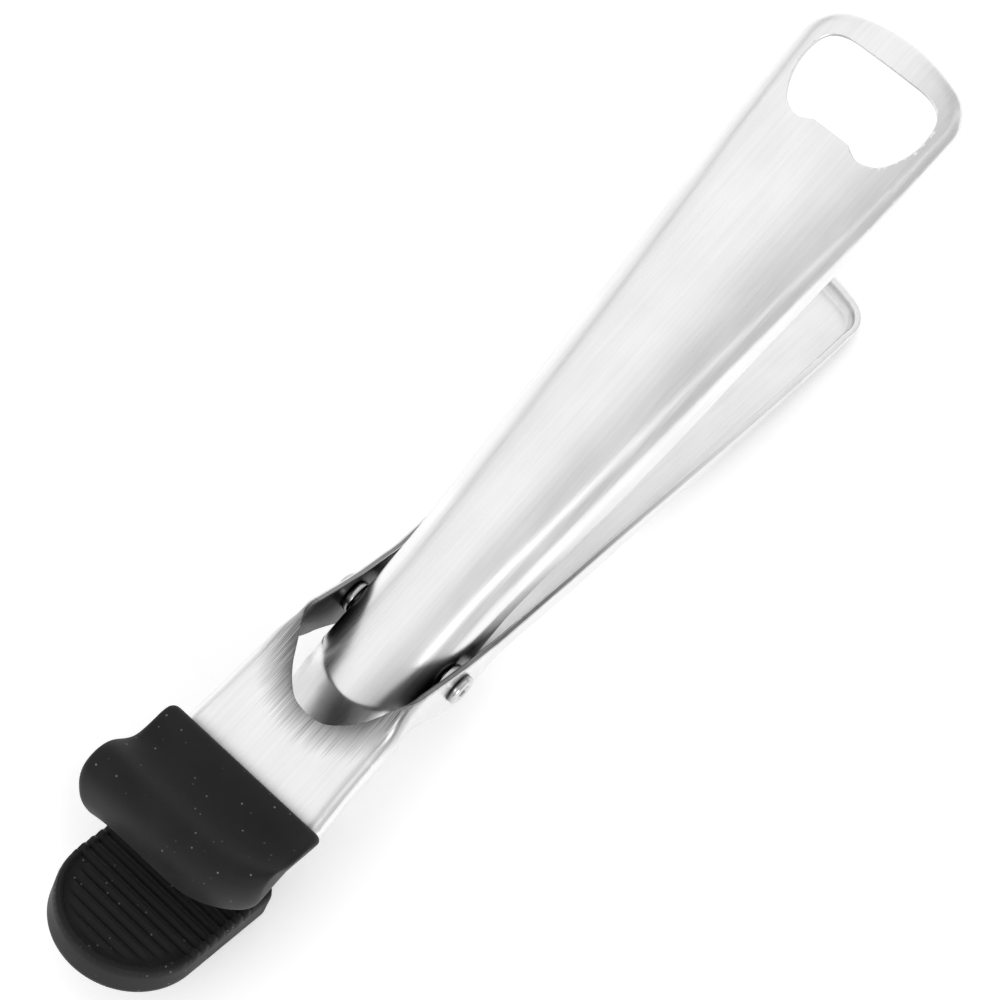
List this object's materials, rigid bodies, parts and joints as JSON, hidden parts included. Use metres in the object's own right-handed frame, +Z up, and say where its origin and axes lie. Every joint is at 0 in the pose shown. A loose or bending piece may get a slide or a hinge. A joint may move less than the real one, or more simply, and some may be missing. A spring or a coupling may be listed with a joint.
{
  "type": "hot dish gripper clip",
  "caption": "Spring clip with silicone-covered jaws that grips the rim of a hot pan or bowl; long steel handles, bottle opener in the upper one.",
  "frame": {"origin": "middle of the footprint, on the table the open clip stands on", "axes": "+X from the jaws to the handle tails, +Z up, +Y to the left seen from the tails"},
  "size_m": [0.2134, 0.0364, 0.0719],
  "materials": {
    "lever_steel": "brushed along the handles",
    "silicone": "matte moulded silicone",
    "pivot_steel": "turned, satin",
    "spring_wire": "drawn wire"
  },
  "bodies": {
    "outer_arm": {"outer_lever": "lever_steel", "upper_jaw_cover": "silicone", "pivot_barrel": "pivot_steel", "pivot_screw": "pivot_steel", "left_spacer": "pivot_steel", "right_spacer": "pivot_steel", "torsion_spring": "spring_wire"},
    "inner_arm": {"inner_lever": "lever_steel", "lower_jaw_cover": "silicone"}
  },
  "joints": [
    {"name": "squeeze", "type": "hinge", "parent": "outer_arm", "child": "inner_arm", "pos_m": [-0.02385, 0, 0.0176], "axis": [0, 1, 0], "range_deg": [0, 6], "stiffness_Nm_per_rad": 0.25, "springref_deg": -51.57, "deforming": ["torsion_spring"]}
  ]
}
